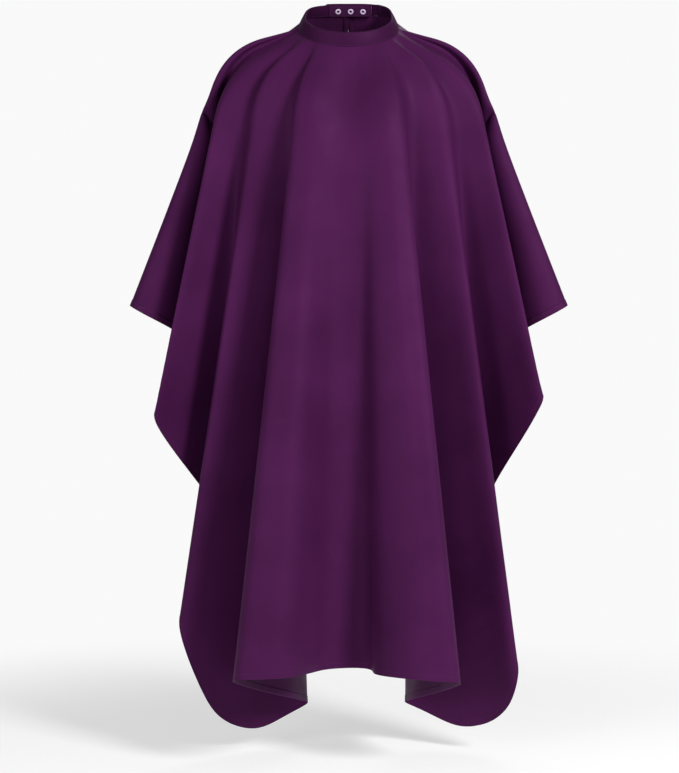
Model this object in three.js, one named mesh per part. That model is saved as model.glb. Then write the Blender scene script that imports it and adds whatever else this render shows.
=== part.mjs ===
// A barber cape: one rectangular cloth with a neck hole and a slit down the back, a two-ply neckband
// sewn round the hole, and a closure at the back that a row of snap fasteners holds shut.
// The wearer faces -Y, +Z is up, and the origin is the centre of the neck seam. Lengths are millimetres.

import * as THREE from 'three';

// ---- the cloth as cut -------------------------------------------------------------------------------
const CUT_SIDE = 700;            // neck centre to each side hem
const CUT_FRONT = 1185;          // neck centre to front hem
const CUT_BACK = 415;            // neck centre to back hem
const NECK_HOLE = 80;            // radius of the hole, eased on to the neckband
const SLIT_LENGTH = 140;         // from the neck hole down the centre of the back
const SLIT_GAP = 3;
const CLOTH_THICKNESS = 2.4;     // the cloth with the air between its fine wrinkles
const SHOULDER_ROUNDING = 70;    // how far each side of a shoulder or chest point the cloth bends

// ---- the neckband -----------------------------------------------------------------------------------
const BAND_TILT = THREE.MathUtils.degToRad(27);   // the band is lower at the throat
const BAND_HEIGHT = 22;
const SEAM_HALF_WIDTH = 88;
const RIM_HALF_WIDTH = 77;
const SEAM_FRONT = 78;
const RIM_FRONT = 68;
const BAND_BACK = 68;
const PLY = 0.9;
const INTERLINING = 0.6;
const GAP = 0.3;                 // between pieces that touch
const SEAM_DROP = 2;             // the cloth's neck edge lies this far under the band
const BAND_STEP = 4;             // degrees of azimuth between sections

// ---- the closure ------------------------------------------------------------------------------------
const SNAP_SPACING = 22.5;
const SNAP_CENTRE = 4;           // x of the middle snap
const SNAP_COUNT = 3;
const TAB_ROOT = 43.5;           // x where the tab leaves the sewn band
const TAB_TIP = -42;
const TAB_GAP = 0.5;             // between two lengths of the tab
const UNDERLAP_END = 43;
const UNDERLAP_INSET = 6.8;      // the underlap lies this far inside the tab
const INSET_STARTS = -108;       // azimuths between which the band steps in
const INSET_ENDS = -147;
const PATCH = { from: -36, to: 41, height: 20, ply: 0.7 };

// ---- snap fastener, 10 mm ---------------------------------------------------------------------------
const CAP_RADIUS = 5.2;
const CAP_HEIGHT = 1.2;
const SOCKET = { radius: 4.6, bore: 2.6, height: 2.4 };
const STUD = { base: 4.5, baseHeight: 0.8, waist: 1.35, knob: 1.7, height: 1.9 };
const RING = { radius: 5, bore: 2.4, height: 1 };
const ROUND_STEPS = 20;

const smoothstep = THREE.MathUtils.smoothstep;
const lerp = THREE.MathUtils.lerp;

// ---- solids from strips and surfaces ----------------------------------------------------------------

function solid(points, triangles) {
  const geometry = new THREE.BufferGeometry();
  geometry.setAttribute('position', new THREE.Float32BufferAttribute(points.flatMap((p) => p.toArray()), 3));
  geometry.setIndex(triangles.flat());
  geometry.computeVertexNormals();
  return geometry;
}

// Four-cornered sections, each listed the same way round, joined into one closed bar. Opposite sides are
// split along the same diagonal, so that bars that lie against each other stay parallel.
function barThrough(sections) {
  const triangles = [];
  const quad = (a, b, c, d) => triangles.push([a, b, c], [a, c, d]);
  for (let i = 0; i + 1 < sections.length; i += 1) {
    for (let k = 0; k < 4; k += 1) {
      const next = (k + 1) % 4;
      const corners = [4 * i + next, 4 * i + k, 4 * (i + 1) + k, 4 * (i + 1) + next];
      if (k < 2) quad(...corners);
      else quad(...corners.slice(1), corners[0]);
    }
  }
  const last = 4 * (sections.length - 1);
  quad(0, 1, 2, 3);
  quad(last + 3, last + 2, last + 1, last);
  return solid(sections.flat(), triangles);
}

// An open surface made into a shell: each vertex goes half the thickness to either side along its normal.
function thickened(surface, thickness) {
  const position = surface.getAttribute('position');
  const normal = surface.getAttribute('normal');
  const index = Array.from(surface.getIndex().array);
  const count = position.count;
  const points = [];
  for (const side of [0.5, -0.5]) {
    for (let i = 0; i < count; i += 1) {
      const p = new THREE.Vector3().fromBufferAttribute(position, i);
      const n = new THREE.Vector3().fromBufferAttribute(normal, i);
      points.push(p.addScaledVector(n, side * thickness));
    }
  }
  const triangles = [];
  const edges = new Map();
  for (let i = 0; i < index.length; i += 3) {
    const [a, b, c] = index.slice(i, i + 3);
    triangles.push([a, b, c], [a + count, c + count, b + count]);
    for (const [from, to] of [[a, b], [b, c], [c, a]]) {
      edges.set(`${from},${to}`, [from, to]);
    }
  }
  for (const [from, to] of edges.values()) {
    if (!edges.has(`${to},${from}`)) {
      triangles.push([from, from + count, to + count], [from, to + count, to]);
    }
  }
  return solid(points, triangles);
}

// ---- the neckband's curve ---------------------------------------------------------------------------
// Azimuth 0 is the throat and 90 the +X side. The curve is an ellipse at the front and squarer behind.
// Heights are along the band's own axis, offsets outward from the curve, both in the band's frame.

function bandRadius(azimuth, height) {
  const angle = THREE.MathUtils.degToRad(azimuth);
  const up = height / BAND_HEIGHT;
  const behind = smoothstep(-Math.cos(angle), -0.3, 0.6);
  const halfWidth = lerp(SEAM_HALF_WIDTH, RIM_HALF_WIDTH, up);
  const depth = lerp(lerp(SEAM_FRONT, RIM_FRONT, up), BAND_BACK, behind);
  const power = lerp(2, 3.6, behind);
  const sum = Math.abs(Math.sin(angle) / halfWidth) ** power + Math.abs(Math.cos(angle) / depth) ** power;
  return sum ** (-1 / power);
}

function bandPoint(azimuth, height, offset = 0) {
  const on = (degrees) => {
    const angle = THREE.MathUtils.degToRad(degrees);
    const radius = bandRadius(degrees, height);
    return new THREE.Vector3(radius * Math.sin(angle), -radius * Math.cos(angle), height);
  };
  const along = on(azimuth + 0.5).sub(on(azimuth - 0.5)).normalize();
  return on(azimuth).addScaledVector(new THREE.Vector3(along.y, -along.x, 0), offset);
}

// The azimuth, between behind the right shoulder and behind the left, where the curve crosses x.
function azimuthAtBack(x) {
  let [low, high] = [100, 260];
  for (let i = 0; i < 40; i += 1) {
    const middle = (low + high) / 2;
    if (bandPoint(middle, BAND_HEIGHT / 2).x > x) low = middle;
    else high = middle;
  }
  return (low + high) / 2;
}

function bandStrip({ from, to, inner, outer, bottom = 0, top = BAND_HEIGHT, shift = () => 0 }) {
  const steps = Math.max(1, Math.ceil((to - from) / BAND_STEP));
  const sections = [];
  for (let i = 0; i <= steps; i += 1) {
    const azimuth = lerp(from, to, i / steps);
    const moved = shift(azimuth);
    sections.push([
      bandPoint(azimuth, bottom, inner + moved),
      bandPoint(azimuth, bottom, outer + moved),
      bandPoint(azimuth, top, outer + moved),
      bandPoint(azimuth, top, inner + moved),
    ]);
  }
  return barThrough(sections);
}

// ---- how the cloth hangs ----------------------------------------------------------------------------
// Each fold line runs from the neck to a resting point on the shoulders or chest, and from there straight
// to the hem. cut is its end on the flat cloth, u to the wearer's left (+X) and v towards the front hem,
// neck its azimuth on the band, rest its resting point, and hem its end seen from above.
// The height of the hem follows from the length of cloth. The corners of the cloth have a radius of 100.

const BACK_FOLDS = [
  { cut: [CUT_SIDE, -210], neck: 102, rest: [208, 34, -78], hem: [262, 85] },
  { cut: [671, -386], neck: 112, rest: [188, 76, -60], hem: [292, 245] },
  { cut: [520, -CUT_BACK], neck: 128, rest: [152, 98, -97], hem: [192, 118] },
  { cut: [350, -CUT_BACK], neck: 144, rest: [125, 108, -55], hem: [185, 232] },
  { cut: [175, -CUT_BACK], neck: 162, rest: [70, 118, -52], hem: [95, 135] },
];
const RIGHT_FOLDS = [
  { cut: [35, CUT_FRONT], neck: 8, rest: [14, -140, -193], hem: [35, -90] },
  { cut: [105, CUT_FRONT], neck: 16, rest: [42, -142, -163], hem: [48, -160] },
  { cut: [175, CUT_FRONT], neck: 26, rest: [62, -138, -133], hem: [105, -208] },
  { cut: [225, CUT_FRONT], neck: 32, rest: [76, -132, -118], hem: [150, -215] },
  { cut: [278, CUT_FRONT], neck: 38, rest: [90, -122, -108], hem: [194, -186] },
  { cut: [510, CUT_FRONT], neck: 46, rest: [108, -96, -113], hem: [98, 55] },
  { cut: [671, 1156], neck: 54, rest: [136, -88, -98], hem: [235, 5] },
  { cut: [CUT_SIDE, 1040], neck: 60, rest: [160, -80, -79], hem: [305, -45] },
  { cut: [CUT_SIDE, 700], neck: 70, rest: [188, -60, -122], hem: [240, 78] },
  { cut: [CUT_SIDE, 400], neck: 78, rest: [222, -45, -89], hem: [344, -60] },
  { cut: [CUT_SIDE, 200], neck: 86, rest: [217, 14, -80], hem: [235, 95] },
  { cut: [CUT_SIDE, 0], neck: 92, rest: [217, 0, -32], hem: [405, 0] },
];
const LEFT_FOLDS = [
  { cut: [-35, CUT_FRONT], neck: -6, rest: [-14, -140, -193], hem: [-35, -95] },
  { cut: [-95, CUT_FRONT], neck: -15, rest: [-40, -142, -163], hem: [-68, -150] },
  { cut: [-160, CUT_FRONT], neck: -23, rest: [-58, -138, -133], hem: [-105, -207] },
  { cut: [-212, CUT_FRONT], neck: -30, rest: [-74, -133, -118], hem: [-155, -215] },
  { cut: [-278, CUT_FRONT], neck: -38, rest: [-90, -122, -105], hem: [-200, -172] },
  { cut: [-510, CUT_FRONT], neck: -46, rest: [-100, -100, -118], hem: [-69, 60] },
  { cut: [-671, 1156], neck: -54, rest: [-129, -90, -98], hem: [-194, 10] },
  { cut: [-CUT_SIDE, 937], neck: -60, rest: [-153, -80, -79], hem: [-302, -45] },
  { cut: [-CUT_SIDE, 700], neck: -70, rest: [-186, -62, -122], hem: [-238, 78] },
  { cut: [-CUT_SIDE, 452], neck: -78, rest: [-222, -45, -93], hem: [-346, -60] },
  { cut: [-CUT_SIDE, 236], neck: -86, rest: [-217, 14, -80], hem: [-228, 98] },
  { cut: [-CUT_SIDE, 0], neck: -92, rest: [-217, 0, -32], hem: [-405, 0] },
];
const CENTRE_BACK = { cut: [0, -CUT_BACK], neck: 180, rest: [0, 120, -33], hem: [0, 190] };

const mirrored = ({ cut, neck, rest, hem }) => ({
  cut: [-cut[0], cut[1]], neck: -neck, rest: [-rest[0], rest[1], rest[2]], hem: [-hem[0], hem[1]],
});
const FOLDS = [
  ...RIGHT_FOLDS, ...BACK_FOLDS, CENTRE_BACK,
  ...BACK_FOLDS.map(mirrored).reverse(), ...LEFT_FOLDS.toReversed(),
];
const COLUMNS_PER_FOLD = 3;
const COLUMNS = FOLDS.length * COLUMNS_PER_FOLD;
const ROWS = 12;
const SLIT_COLUMN = FOLDS.indexOf(CENTRE_BACK) * COLUMNS_PER_FOLD;

// A point a given way along neck, rest, hem, with the bend at the resting point rounded off.
function alongFold(neck, rest, hem, distance) {
  const upper = neck.distanceTo(rest);
  const lower = rest.distanceTo(hem);
  const bend = Math.min(0.55 * upper, SHOULDER_ROUNDING);
  if (distance <= upper - bend) return neck.clone().lerp(rest, distance / upper);
  if (distance >= upper + bend) return rest.clone().lerp(hem, (distance - upper) / lower);
  const before = rest.clone().lerp(neck, bend / upper);
  const after = rest.clone().lerp(hem, bend / lower);
  return new THREE.QuadraticBezierCurve3(before, rest, after).getPoint((distance - upper + bend) / (2 * bend));
}

// The cloth's surface as rows of points, from the neck edge to the hem, one column after another.
function drapedRows() {
  const intoRow = new THREE.Matrix4().makeRotationX(BAND_TILT);
  const necks = FOLDS.map(({ neck }) => bandPoint(neck, -SEAM_DROP).applyMatrix4(intoRow));
  const rests = FOLDS.map(({ rest }) => new THREE.Vector3(...rest));
  const hems = FOLDS.map(({ cut, neck, hem }, i) => {
    const angle = THREE.MathUtils.degToRad(neck);
    const hole = [NECK_HOLE * Math.sin(angle), NECK_HOLE * Math.cos(angle)];
    const length = Math.hypot(cut[0] - hole[0], cut[1] - hole[1]) - necks[i].distanceTo(rests[i]);
    const out = Math.hypot(hem[0] - rests[i].x, hem[1] - rests[i].y);
    return new THREE.Vector3(hem[0], hem[1], rests[i].z - Math.sqrt(length ** 2 - out ** 2));
  });
  const [neckCurve, restCurve, hemCurve] = [necks, rests, hems].map(
    (points) => new THREE.CatmullRomCurve3(points, true, 'catmullrom'),
  );
  const rows = Array.from({ length: ROWS + 1 }, () => []);
  for (let column = 0; column < COLUMNS; column += 1) {
    const ends = [neckCurve, restCurve, hemCurve].map((curve) => curve.getPoint(column / COLUMNS));
    const length = ends[0].distanceTo(ends[1]) + ends[1].distanceTo(ends[2]);
    rows.forEach((row, i) => row.push(alongFold(...ends, (length * i) / ROWS)));
  }
  return rows;
}

const DRAPE = drapedRows();
const SLIT_ROWS = Math.round((SLIT_LENGTH / (CUT_BACK - NECK_HOLE)) * ROWS);

function capeCloth() {
  const points = DRAPE.flat().map((p) => p.clone());
  const index = (row, column) => row * COLUMNS + (column % COLUMNS);
  const farEdge = new Map();
  for (let row = 0; row < SLIT_ROWS; row += 1) {
    const near = points[index(row, SLIT_COLUMN)];
    farEdge.set(row, points.length);
    points.push(near.clone().setX(-SLIT_GAP / 2));
    near.setX(SLIT_GAP / 2);
  }
  const triangles = [];
  for (let row = 0; row < ROWS; row += 1) {
    for (let column = 0; column < COLUMNS; column += 1) {
      const corner = (r, c) => (column === SLIT_COLUMN && c === column && farEdge.get(r)) || index(r, c);
      const [a, b] = [corner(row, column), corner(row, column + 1)];
      const [c, d] = [corner(row + 1, column + 1), corner(row + 1, column)];
      triangles.push([a, d, b], [b, d, c]);
    }
  }
  return thickened(solid(points, triangles), CLOTH_THICKNESS);
}

// A tape laid on the outside of the cloth along one edge of the slit.
function slitBinding(side) {
  const [width, thickness, standOff] = [9, 0.8, 0.9];
  const sections = [];
  for (let row = 0; row <= SLIT_ROWS; row += 1) {
    const middle = DRAPE[row][SLIT_COLUMN];
    const beside = DRAPE[row][SLIT_COLUMN - side];
    const below = DRAPE[row + 1][SLIT_COLUMN].clone().sub(middle);
    const across = beside.clone().sub(middle).normalize();
    const outward = across.clone().cross(below).multiplyScalar(side).normalize();
    const at = (out, up) => middle.clone().addScaledVector(across, out).addScaledVector(outward, up);
    const low = CLOTH_THICKNESS / 2 + standOff;
    const [near, far] = [SLIT_GAP / 2 + GAP, SLIT_GAP / 2 + GAP + width];
    const section = [at(near, low), at(far, low), at(far, low + thickness), at(near, low + thickness)];
    sections.push(side > 0 ? section : section.reverse());
  }
  return barThrough(sections);
}

// ---- snap fasteners ---------------------------------------------------------------------------------

function turned(profile) {
  const geometry = new THREE.LatheGeometry(profile.map(([r, y]) => new THREE.Vector2(r, y)), ROUND_STEPS);
  return geometry.rotateX(Math.PI / 2);
}

// Profiles run up the outside, so that the faces point out; the turned axis becomes +Z, which faces out.
const SNAP_SHAPES = {
  cap: () => turned([
    [0, 0], [CAP_RADIUS, 0], [CAP_RADIUS, 0.35 * CAP_HEIGHT], [0.85 * CAP_RADIUS, 0.8 * CAP_HEIGHT],
    [0.5 * CAP_RADIUS, CAP_HEIGHT], [0, CAP_HEIGHT],
  ]),
  socket: () => turned([
    [SOCKET.bore, 0], [SOCKET.radius - 0.6, 0], [SOCKET.radius - 0.6, 0.6 * SOCKET.height],
    [SOCKET.radius, 0.7 * SOCKET.height], [SOCKET.radius, SOCKET.height], [SOCKET.bore, SOCKET.height],
    [SOCKET.bore, 0],
  ]),
  stud: () => turned([
    [0, 0], [STUD.base, 0], [STUD.base, 0.6 * STUD.baseHeight], [0.6 * STUD.base, STUD.baseHeight],
    [STUD.waist, STUD.baseHeight], [STUD.waist, STUD.baseHeight + 0.5 * STUD.height],
    [STUD.knob, STUD.baseHeight + 0.75 * STUD.height], [STUD.waist, STUD.baseHeight + STUD.height],
    [0, STUD.baseHeight + STUD.height],
  ]),
  ring: () => turned([
    [RING.bore, 0.3 * RING.height], [0.65 * RING.radius, 0], [RING.radius, 0.3 * RING.height],
    [RING.radius, RING.height], [RING.bore, RING.height], [RING.bore, 0.3 * RING.height],
  ]),
};

// ---- materials --------------------------------------------------------------------------------------

const satin = new THREE.MeshStandardMaterial({ color: 0x4a1a49, roughness: 0.55, metalness: 0 });
const lining = new THREE.MeshStandardMaterial({ color: 0x3a1238, roughness: 0.7, metalness: 0 });
const interfacing = new THREE.MeshStandardMaterial({ color: 0xd8d3d8, roughness: 0.9, metalness: 0 });
const resin = new THREE.MeshStandardMaterial({ color: 0xcdb9d6, roughness: 0.35, metalness: 0 });

// ---- the assembly -----------------------------------------------------------------------------------

const cape = new THREE.Group();
const band = new THREE.Group();
band.rotation.x = BAND_TILT;
cape.add(band);

function addPiece(group, name, geometry, material) {
  const mesh = new THREE.Mesh(geometry, material);
  mesh.name = name;
  group.add(mesh);
  return mesh;
}

addPiece(cape, 'cape_cloth', capeCloth(), satin);
addPiece(cape, 'slit_binding_left', slitBinding(-1), lining);
addPiece(cape, 'slit_binding_right', slitBinding(1), lining);

// The band runs from the tab's root round the throat and on to the underlap's free end, inside the tab.
const inset = (azimuth) => -UNDERLAP_INSET * smoothstep(-azimuth, -INSET_STARTS, -INSET_ENDS);
const halfStiffener = INTERLINING / 2;
const halfBand = halfStiffener + GAP + PLY;
const bandRun = {
  from: azimuthAtBack(UNDERLAP_END) - 360, to: azimuthAtBack(TAB_ROOT), shift: inset,
};
addPiece(band, 'neckband_outer_ply', bandStrip({ ...bandRun, inner: halfStiffener + GAP, outer: halfBand }), satin);
addPiece(band, 'neckband_inner_ply', bandStrip({ ...bandRun, inner: -halfBand, outer: -halfStiffener - GAP }), lining);
addPiece(band, 'neckband_interlining', bandStrip({ ...bandRun, inner: -halfStiffener, outer: halfStiffener }), interfacing);

const patchOuter = -UNDERLAP_INSET - halfBand - GAP;
addPiece(band, 'snap_patch', bandStrip({
  from: azimuthAtBack(PATCH.to), to: azimuthAtBack(PATCH.from),
  inner: patchOuter - PATCH.ply, outer: patchOuter,
  bottom: (BAND_HEIGHT - PATCH.height) / 2, top: (BAND_HEIGHT + PATCH.height) / 2,
}), lining);

// A snap's pieces stand on the band's surface, turned so that their axis faces out of the back.
function placeOnBand(mesh, x, offset) {
  const azimuth = azimuthAtBack(x);
  const base = bandPoint(azimuth, BAND_HEIGHT / 2);
  const out = bandPoint(azimuth, BAND_HEIGHT / 2, 1).sub(base);
  mesh.position.copy(base).addScaledVector(out, offset);
  mesh.quaternion.setFromUnitVectors(new THREE.Vector3(0, 0, 1), out);
}

// The tab is three lengths, one to a snap, that bend where they meet.
const tabPly = (halfBand * 2 - GAP) / 2 - 0.3;
const tabHalf = tabPly + GAP / 2;
const snapX = Array.from({ length: SNAP_COUNT }, (_, i) => SNAP_CENTRE + (1 - i) * SNAP_SPACING);
const tabBends = [TAB_ROOT, (snapX[0] + snapX[1]) / 2, (snapX[1] + snapX[2]) / 2, TAB_TIP];
const studOuter = -tabHalf - GAP - SOCKET.height;
['root', 'middle', 'tip'].forEach((part, i) => {
  const length = {
    from: azimuthAtBack(tabBends[i] - TAB_GAP / 2), to: azimuthAtBack(tabBends[i + 1] + TAB_GAP / 2),
    bottom: 0.5, top: BAND_HEIGHT,
  };
  addPiece(band, `tab_${part}_outer_ply`, bandStrip({ ...length, inner: GAP / 2, outer: tabHalf }), satin);
  addPiece(band, `tab_${part}_inner_ply`, bandStrip({ ...length, inner: -tabHalf, outer: -GAP / 2 }), lining);
  const number = i + 1;
  const stand = (shape, offset) => {
    placeOnBand(addPiece(band, `snap_${shape}_${number}`, SNAP_SHAPES[shape](), resin), snapX[i], offset);
  };
  stand('cap', tabHalf + GAP);
  stand('socket', studOuter);
  stand('stud', -UNDERLAP_INSET + halfBand + GAP);
  stand('ring', patchOuter - PATCH.ply - GAP - RING.height);
});

export default cape;
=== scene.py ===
"""The looks of a barber cape: its satin cloth, neckband, closing tab, snaps and stitching.

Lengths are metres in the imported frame's axes: +Z is up, the wearer faces -Y, and the origin is the
centre of the neck seam.
"""

import math

import bpy
import numpy as np
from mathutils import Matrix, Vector


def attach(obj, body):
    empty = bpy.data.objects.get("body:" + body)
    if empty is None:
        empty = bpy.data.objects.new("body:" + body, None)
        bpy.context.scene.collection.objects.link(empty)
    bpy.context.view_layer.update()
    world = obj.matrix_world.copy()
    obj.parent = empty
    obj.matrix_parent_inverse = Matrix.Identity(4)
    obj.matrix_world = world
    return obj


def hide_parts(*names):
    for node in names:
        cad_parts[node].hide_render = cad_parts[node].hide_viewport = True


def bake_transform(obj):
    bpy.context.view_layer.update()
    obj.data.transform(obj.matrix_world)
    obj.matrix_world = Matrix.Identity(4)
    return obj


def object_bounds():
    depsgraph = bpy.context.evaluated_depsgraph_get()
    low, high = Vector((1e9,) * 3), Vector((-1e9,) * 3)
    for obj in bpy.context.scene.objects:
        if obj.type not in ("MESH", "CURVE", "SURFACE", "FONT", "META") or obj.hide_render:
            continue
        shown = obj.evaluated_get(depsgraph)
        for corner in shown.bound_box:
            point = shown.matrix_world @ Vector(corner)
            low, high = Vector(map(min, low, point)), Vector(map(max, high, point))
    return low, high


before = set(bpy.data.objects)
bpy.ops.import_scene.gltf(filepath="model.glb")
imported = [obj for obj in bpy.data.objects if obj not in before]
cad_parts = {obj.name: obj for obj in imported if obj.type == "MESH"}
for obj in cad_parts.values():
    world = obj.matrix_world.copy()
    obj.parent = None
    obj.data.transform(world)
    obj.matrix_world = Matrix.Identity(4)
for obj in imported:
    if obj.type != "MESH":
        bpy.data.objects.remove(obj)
CAD_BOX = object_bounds()
MM = 0.001

# ---- the cloth as cut ------------------------------------------------------------------------------
CUT_HALF_WIDTH = 700 * MM
CUT_FRONT = 1185 * MM
CUT_BACK = 415 * MM
CUT_CORNER = 100 * MM
NECK_HOLE = 80 * MM
SLIT_LENGTH = 140 * MM
SHOULDER_ROUNDING = 70 * MM
CLOTH = 0.45 * MM

# ---- the neckband and its closure ------------------------------------------------------------------
BAND_TILT = math.radians(27)
BAND_HEIGHT = 22 * MM
SEAM_HALF_WIDTH, RIM_HALF_WIDTH = 88 * MM, 77 * MM
SEAM_FRONT, RIM_FRONT = 78 * MM, 68 * MM
BAND_BACK = 68 * MM
BAND_HALF = 1.5 * MM
TAB_HALF = 1.2 * MM
STIFFENER_HALF = 0.3 * MM
GAP = 0.3 * MM
SEAM_DROP = 2 * MM
SEAM_RISE = 1.5 * MM
STITCH_IN = 2.2 * MM
UNDERLAP_INSET = 6.8 * MM
INSET_STARTS, INSET_ENDS = -108, -147
TAB_STARTS, TAB_ROOT, TAB_TIP = 52 * MM, 43.5 * MM, -42 * MM
TIP_ROUND = 5 * MM
BEND_REACH = 5 * MM
UNDERLAP_END = 43 * MM
SNAP_SPACING, SNAP_CENTRE = 22.5 * MM, 4 * MM
SNAP_X = [SNAP_CENTRE + i * SNAP_SPACING for i in (1, 0, -1)]
PATCH_FROM, PATCH_TO, PATCH_HEIGHT = -36 * MM, 41 * MM, 20 * MM

# ---- how the cloth hangs: each fold line's end on the flat cloth, azimuth on the neckband, resting
# point on the shoulders or chest, and end seen from above, in millimetres ----------------------------
BACK_FOLDS = [
    ((700, -210), 102, (207, 32, -54), (262, 85)),
    ((671, -386), 112, (188, 76, -60), (292, 245)),
    ((520, -415), 128, (152, 98, -97), (192, 118)),
    ((350, -415), 144, (125, 108, -55), (185, 232)),
    ((175, -415), 162, (70, 118, -52), (95, 135)),
]
RIGHT_FOLDS = [
    ((35, 1185), 8, (14, -140, -193), (35, -90)),
    ((105, 1185), 16, (42, -142, -163), (48, -160)),
    ((175, 1185), 26, (62, -138, -133), (105, -208)),
    ((225, 1185), 32, (76, -132, -118), (150, -215)),
    ((278, 1185), 38, (90, -122, -108), (194, -186)),
    ((510, 1185), 46, (108, -96, -113), (98, 55)),
    ((671, 1156), 54, (136, -88, -98), (235, 5)),
    ((700, 1040), 60, (160, -80, -79), (305, -45)),
    ((700, 700), 70, (188, -60, -122), (240, 78)),
    ((700, 400), 78, (222, -45, -89), (344, -60)),
    ((700, 200), 86, (217, 10, -56), (235, 95)),
    ((700, 0), 92, (217, 0, -32), (405, 0)),
]
LEFT_FOLDS = [
    ((-35, 1185), -6, (-14, -140, -193), (-35, -95)),
    ((-95, 1185), -15, (-40, -142, -163), (-68, -150)),
    ((-160, 1185), -23, (-58, -138, -133), (-105, -207)),
    ((-212, 1185), -30, (-74, -133, -118), (-155, -215)),
    ((-278, 1185), -38, (-90, -122, -105), (-200, -172)),
    ((-510, 1185), -46, (-100, -100, -118), (-69, 60)),
    ((-671, 1156), -54, (-129, -90, -98), (-194, 10)),
    ((-700, 937), -60, (-153, -80, -79), (-302, -45)),
    ((-700, 700), -70, (-186, -62, -122), (-238, 78)),
    ((-700, 452), -78, (-222, -45, -93), (-346, -60)),
    ((-700, 236), -86, (-217, 10, -56), (-228, 98)),
    ((-700, 0), -92, (-217, 0, -32), (-405, 0)),
]
CENTRE_BACK = ((0, -415), 180, (0, 120, -33), (0, 190))


def mirrored(fold):
    (u, v), neck, (x, y, z), (hem_x, hem_y) = fold
    return (-u, v), -neck, (-x, y, z), (-hem_x, hem_y)


FOLDS = RIGHT_FOLDS + BACK_FOLDS + [CENTRE_BACK] + [mirrored(f) for f in BACK_FOLDS[::-1]] + LEFT_FOLDS[::-1]
SLIT_FOLD = FOLDS.index(CENTRE_BACK)

# ---- the cloth's grid, and how it settles ------------------------------------------------------------
# The neck edge is lifted between the band's plies, and past FREE_FROM, where the tab is free, just under
# them. A spring rests at its length as hung, kept between LEAST_EASE and MOST_EASE of its cut length.
# Those limits are wide: only the most stretched and the most crumpled cloth moves, and the rest stays as
# hung, though across the folds much of it is wider or narrower than cut. HOLD is the pull back to the hung
# shape, from below HANG_TO to above HANG_FROM, both measured down from the resting point. LEVELS are the
# grid steps and their cycles, and SPRINGS the rows down, the columns along and the stiffness.
COLUMN_SPACING = 18 * MM
ROWS = 64
TUCK_ROWS = 8
FREE_FROM = 150
UNDER_TAB = 0.3 * MM
SLIT_HALF_GAP = 0.5 * MM
LEAST_EASE, MOST_EASE = 0.68, 1.3
HOLD_LOW, HOLD_HIGH = 0.08, 0.4
HANG_FROM, HANG_TO = -30 * MM, 200 * MM
GRAVITY = 0.00003
DRIFT = 0.9
LEVELS = ((4, 500), (2, 300), (1, 200))
SPRINGS = ((0, 1, 1.0), (1, 0, 1.0), (1, 1, 0.4), (1, -1, 0.4), (0, 2, 0.2), (2, 0, 0.2))


def smoothstep(x, low, high):
    t = np.clip((x - low) / (high - low), 0, 1)
    return t * t * (3 - 2 * t)


# ---- the neckband's curve --------------------------------------------------------------------------


def band_point(azimuth, height, offset=0.0):
    """A point on the neckband, in the row frame. Azimuth 0 is the throat and 90 the +X side."""

    def on_curve(degrees):
        angle = math.radians(degrees)
        up = height / BAND_HEIGHT
        behind = float(smoothstep(-math.cos(angle), -0.3, 0.6))
        half_width = SEAM_HALF_WIDTH + (RIM_HALF_WIDTH - SEAM_HALF_WIDTH) * up
        front = SEAM_FRONT + (RIM_FRONT - SEAM_FRONT) * up
        depth = front + (BAND_BACK - front) * behind
        power = 2 + 1.6 * behind
        across, along = abs(math.sin(angle) / half_width), abs(math.cos(angle) / depth)
        radius = (across**power + along**power) ** (-1 / power)
        return np.array([radius * math.sin(angle), -radius * math.cos(angle)])

    tangent = on_curve(azimuth + 0.5) - on_curve(azimuth - 0.5)
    tangent /= np.linalg.norm(tangent)
    x, y = on_curve(azimuth) + offset * np.array([tangent[1], -tangent[0]])
    cos, sin = math.cos(BAND_TILT), math.sin(BAND_TILT)
    return np.array([x, cos * y - sin * height, sin * y + cos * height])


def azimuth_at_back(x):
    """The azimuth at which the back of the band crosses x."""
    low, high = 100.0, 260.0
    for _ in range(40):
        middle = (low + high) / 2
        if band_point(middle, BAND_HEIGHT / 2)[0] > x:
            low = middle
        else:
            high = middle
    return (low + high) / 2


def inset(azimuth):
    """How far the band steps inward, towards the end that lies under the tab."""
    return -UNDERLAP_INSET * float(smoothstep(-azimuth, -INSET_STARTS, -INSET_ENDS))


def tuck(azimuth):
    """How far the cloth's neck edge moves from the seam to where the band holds it."""
    if azimuth > FREE_FROM:
        held = band_point(azimuth, -UNDER_TAB)
    else:
        held = band_point(azimuth, SEAM_RISE, inset(azimuth))
    return held - band_point(azimuth, -SEAM_DROP)


# ---- small mesh tools ------------------------------------------------------------------------------


def new_mesh(name, points, faces, material=None, smooth=True):
    mesh = bpy.data.meshes.new(name)
    mesh.from_pydata([tuple(p) for p in points], [], faces)
    mesh.validate()
    mesh.update()
    piece = bpy.data.objects.new(name, mesh)
    bpy.context.scene.collection.objects.link(piece)
    if smooth:
        mesh.polygons.foreach_set("use_smooth", [True] * len(mesh.polygons))
    if material:
        mesh.materials.append(material)
    return piece


# ---- the cloth: fold lines into a surface ------------------------------------------------------------


def through_folds(values, where):
    """A closed smooth curve through one value per fold, at positions counted in folds."""
    count = len(values)
    start = np.floor(where).astype(int)
    t = (where - start)[:, None]
    before, at, after, beyond = (values[(start + i) % count] for i in (-1, 0, 1, 2))
    return 0.5 * (
        2 * at
        + (after - before) * t
        + (2 * before - 5 * at + 4 * after - beyond) * t**2
        + (3 * at - before - 3 * after + beyond) * t**3
    )


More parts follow.
